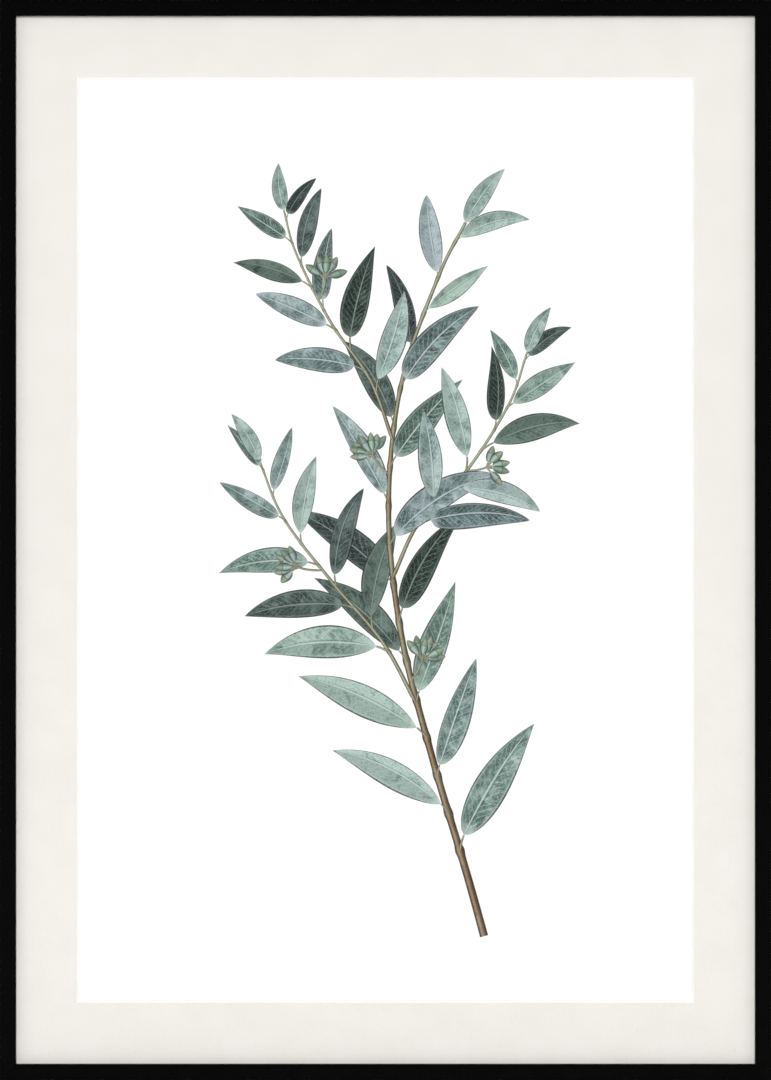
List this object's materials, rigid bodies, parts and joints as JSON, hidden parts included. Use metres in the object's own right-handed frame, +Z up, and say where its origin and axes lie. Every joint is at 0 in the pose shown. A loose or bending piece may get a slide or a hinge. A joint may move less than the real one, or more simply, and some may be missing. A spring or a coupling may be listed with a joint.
{
  "type": "framed botanical print",
  "caption": "Upright framed print: slim black wooden frame, clear glazing, cream window mat and a botanical sheet, with bendable tabs and sawtooth hangers behind.",
  "frame": {"origin": "top of the middle notch of the upright hanger, in the middle of its thickness, where the nail carries the frame", "axes": "+Z up, the picture faces -Y, the wall is on the +Y side, +X is to the viewer's right"},
  "size_m": [0.5, 0.022, 0.7],
  "materials": {
    "black_wood": "satin",
    "clear_acrylic": "gloss",
    "cream_board": "matte",
    "print_paper": "matte",
    "hardboard": "matte",
    "tab_steel": "satin",
    "plated_steel": "gloss"
  },
  "bodies": {
    "root": {"frame_rail_bottom": "black_wood", "frame_rail_left": "black_wood", "frame_rail_top": "black_wood", "frame_rail_right": "black_wood", "v_nail_bottom_left": "tab_steel", "v_nail_bottom_right": "tab_steel", "v_nail_top_left": "tab_steel", "v_nail_top_right": "tab_steel", "glazing": "clear_acrylic", "window_mat": "cream_board", "print_sheet": "print_paper", "backing_board": "hardboard", "tab_bottom_1": "tab_steel", "tab_bottom_2": "tab_steel", "tab_bottom_3": "tab_steel", "tab_left_1": "tab_steel", "tab_left_2": "tab_steel", "tab_left_3": "tab_steel", "tab_left_4": "tab_steel", "tab_top_1": "tab_steel", "tab_top_2": "tab_steel", "tab_top_3": "tab_steel", "tab_right_1": "tab_steel", "tab_right_2": "tab_steel", "tab_right_3": "tab_steel", "tab_right_4": "tab_steel", "hanger_upright": "plated_steel", "hanger_upright_rivet_a": "plated_steel", "hanger_upright_rivet_b": "plated_steel", "hanger_sideways": "plated_steel", "hanger_sideways_rivet_a": "plated_steel", "hanger_sideways_rivet_b": "plated_steel"}
  },
  "joints": []
}
